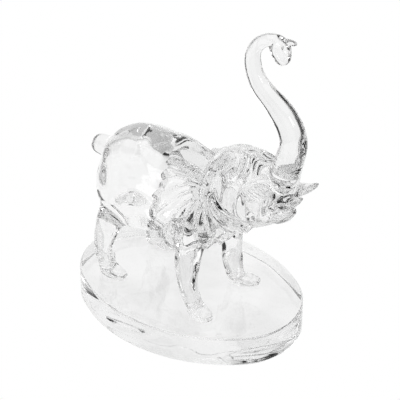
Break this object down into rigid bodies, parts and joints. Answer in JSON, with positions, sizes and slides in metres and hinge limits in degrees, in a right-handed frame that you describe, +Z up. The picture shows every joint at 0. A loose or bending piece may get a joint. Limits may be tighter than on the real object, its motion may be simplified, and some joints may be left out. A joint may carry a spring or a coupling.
{
  "type": "glass elephant figurine",
  "caption": "Clear hand-worked glass elephant with raised trunk, fluted ears and tusks, standing on a thick oval glass plinth.",
  "frame": {"origin": "centre of the plinth's underside", "axes": "+Z up; the elephant's head points along -Y and its tail along +Y; its right side is towards -X"},
  "size_m": [0.083, 0.1237, 0.1693],
  "materials": {
    "plinth_glass": "polished",
    "figure_glass": "fire-polished",
    "clear_adhesive": "clear"
  },
  "bodies": {
    "root": {"plinth": "plinth_glass", "foot_bonds": "clear_adhesive", "body": "figure_glass", "head": "figure_glass", "jaw": "figure_glass", "trunk": "figure_glass", "trunk_tip": "figure_glass", "ear_right": "figure_glass", "ear_left": "figure_glass", "tusk_right": "figure_glass", "tusk_left": "figure_glass", "eye_right": "figure_glass", "eye_left": "figure_glass", "tail": "figure_glass", "leg_front_right": "figure_glass", "leg_front_left": "figure_glass", "leg_rear_right": "figure_glass", "leg_rear_left": "figure_glass", "foot_front_right": "figure_glass", "foot_front_left": "figure_glass", "foot_rear_right": "figure_glass", "foot_rear_left": "figure_glass"}
  },
  "joints": []
}
